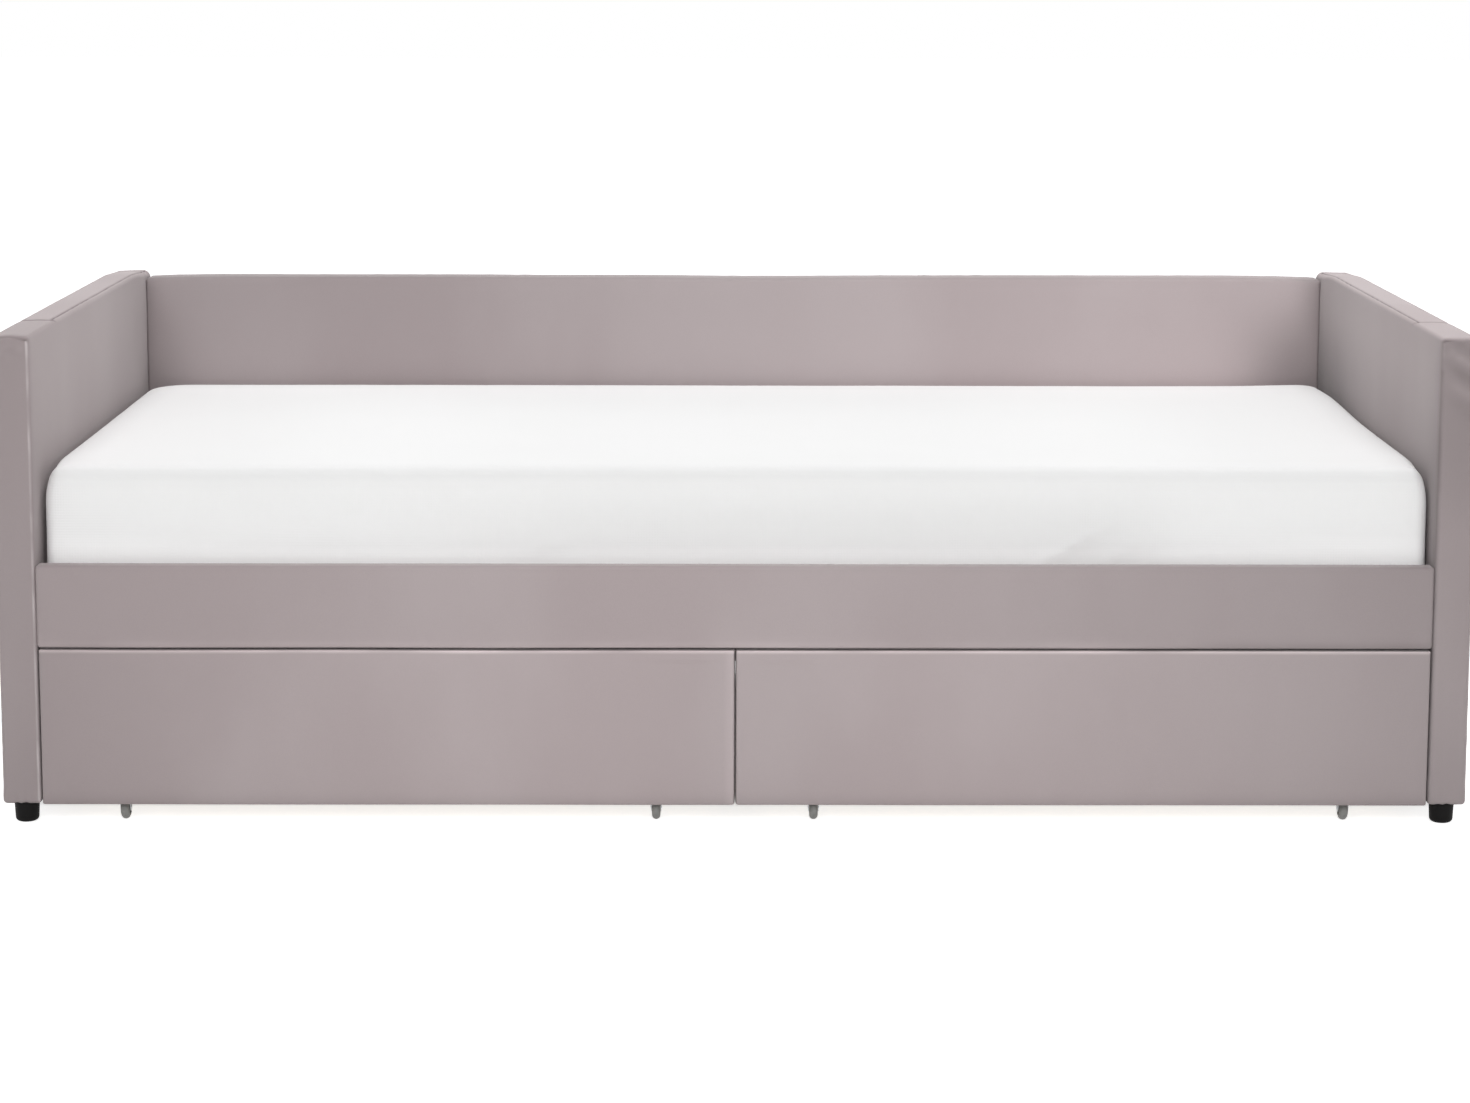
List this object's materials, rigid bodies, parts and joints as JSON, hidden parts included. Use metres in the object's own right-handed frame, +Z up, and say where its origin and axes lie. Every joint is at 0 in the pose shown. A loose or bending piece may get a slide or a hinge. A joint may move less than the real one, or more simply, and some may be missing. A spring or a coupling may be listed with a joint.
{
  "type": "storage daybed",
  "caption": "Upholstered daybed with slab arms and back round a single mattress on slats, over roll-out drawers on castors.",
  "frame": {"origin": "on the floor, under the middle of the whole daybed", "axes": "+X to the right along the mattress's length, seen from the front; +Y from the front to the back; +Z up"},
  "size_m": [2.13, 0.995, 0.718],
  "materials": {
    "velvet": "short-pile velvet with a soft sheen, greyish pink taupe",
    "mattress_cloth": "matt white knitted ticking",
    "pine": "planed, unvarnished",
    "hardboard": "smooth on one side",
    "plywood": "sanded birch plywood, clear matt lacquer",
    "webbing": "plain woven tape",
    "zinc_steel": "bright zinc plating on pressed steel",
    "wheel_plastic": "moulded grey plastic",
    "foot_plastic": "moulded black plastic, fine grain"
  },
  "bodies": {
    "frame": {"left_arm_cover": "velvet", "right_arm_cover": "velvet", "back_cover": "velvet", "front_rail_cover": "velvet", "left_arm_frame": "pine", "right_arm_frame": "pine", "back_frame": "pine", "arm_hardboards": "hardboard", "back_hardboards": "hardboard", "front_rail_board": "pine", "front_slat_ledge": "pine", "rear_slat_ledge": "pine", "slat_straps": "webbing", "feet": "foot_plastic", "corner_brackets": "zinc_steel", "coach_screws": "zinc_steel", "slat_01": "pine", "slat_02": "pine", "slat_03": "pine", "slat_04": "pine", "slat_05": "pine", "slat_06": "pine", "slat_07": "pine", "slat_08": "pine", "slat_09": "pine", "slat_10": "pine", "slat_11": "pine", "slat_12": "pine", "slat_13": "pine"},
    "mattress": {"mattress": "mattress_cloth"},
    "left_drawer": {"left_drawer_front_cover": "velvet", "left_drawer_front_board": "plywood", "left_drawer_bottom": "plywood", "left_drawer_inner_side": "plywood", "left_drawer_outer_side": "plywood", "left_drawer_box_front": "plywood", "left_drawer_back": "plywood", "left_drawer_castor_brackets": "zinc_steel", "left_drawer_axle_pins": "zinc_steel"},
    "left_front_inner_wheel": {"left_drawer_front_inner_wheel": "wheel_plastic"},
    "left_rear_inner_wheel": {"left_drawer_rear_inner_wheel": "wheel_plastic"},
    "left_front_outer_wheel": {"left_drawer_front_outer_wheel": "wheel_plastic"},
    "left_rear_outer_wheel": {"left_drawer_rear_outer_wheel": "wheel_plastic"},
    "right_drawer": {"right_drawer_front_cover": "velvet", "right_drawer_front_board": "plywood", "right_drawer_bottom": "plywood", "right_drawer_inner_side": "plywood", "right_drawer_outer_side": "plywood", "right_drawer_box_front": "plywood", "right_drawer_back": "plywood", "right_drawer_castor_brackets": "zinc_steel", "right_drawer_axle_pins": "zinc_steel"},
    "right_front_inner_wheel": {"right_drawer_front_inner_wheel": "wheel_plastic"},
    "right_rear_inner_wheel": {"right_drawer_rear_inner_wheel": "wheel_plastic"},
    "right_front_outer_wheel": {"right_drawer_front_outer_wheel": "wheel_plastic"},
    "right_rear_outer_wheel": {"right_drawer_rear_outer_wheel": "wheel_plastic"}
  },
  "joints": [
    {"name": "mattress_lift", "type": "slide", "parent": "frame", "child": "mattress", "axis": [0, 0, 1], "range_m": [0, 0.4]},
    {"name": "left_drawer_slide", "type": "slide", "parent": "frame", "child": "left_drawer", "axis": [0, -1, 0], "range_m": [0, 0.72]},
    {"name": "left_front_inner_wheel_spin", "type": "hinge", "parent": "left_drawer", "child": "left_front_inner_wheel", "pos_m": [-0.1155, -0.456, 0.018], "axis": [1, 0, 0], "continuous": true},
    {"name": "left_rear_inner_wheel_spin", "type": "hinge", "parent": "left_drawer", "child": "left_rear_inner_wheel", "pos_m": [-0.1155, 0.1545, 0.018], "axis": [1, 0, 0], "continuous": true},
    {"name": "left_front_outer_wheel_spin", "type": "hinge", "parent": "left_drawer", "child": "left_front_outer_wheel", "pos_m": [-0.894, -0.456, 0.018], "axis": [1, 0, 0], "continuous": true},
    {"name": "left_rear_outer_wheel_spin", "type": "hinge", "parent": "left_drawer", "child": "left_rear_outer_wheel", "pos_m": [-0.894, 0.1545, 0.018], "axis": [1, 0, 0], "continuous": true},
    {"name": "right_drawer_slide", "type": "slide", "parent": "frame", "child": "right_drawer", "axis": [0, -1, 0], "range_m": [0, 0.72]},
    {"name": "right_front_inner_wheel_spin", "type": "hinge", "parent": "right_drawer", "child": "right_front_inner_wheel", "pos_m": [0.1155, -0.456, 0.018], "axis": [1, 0, 0], "continuous": true},
    {"name": "right_rear_inner_wheel_spin", "type": "hinge", "parent": "right_drawer", "child": "right_rear_inner_wheel", "pos_m": [0.1155, 0.1545, 0.018], "axis": [1, 0, 0], "continuous": true},
    {"name": "right_front_outer_wheel_spin", "type": "hinge", "parent": "right_drawer", "child": "right_front_outer_wheel", "pos_m": [0.894, -0.456, 0.018], "axis": [1, 0, 0], "continuous": true},
    {"name": "right_rear_outer_wheel_spin", "type": "hinge", "parent": "right_drawer", "child": "right_rear_outer_wheel", "pos_m": [0.894, 0.1545, 0.018], "axis": [1, 0, 0], "continuous": true}
  ]
}
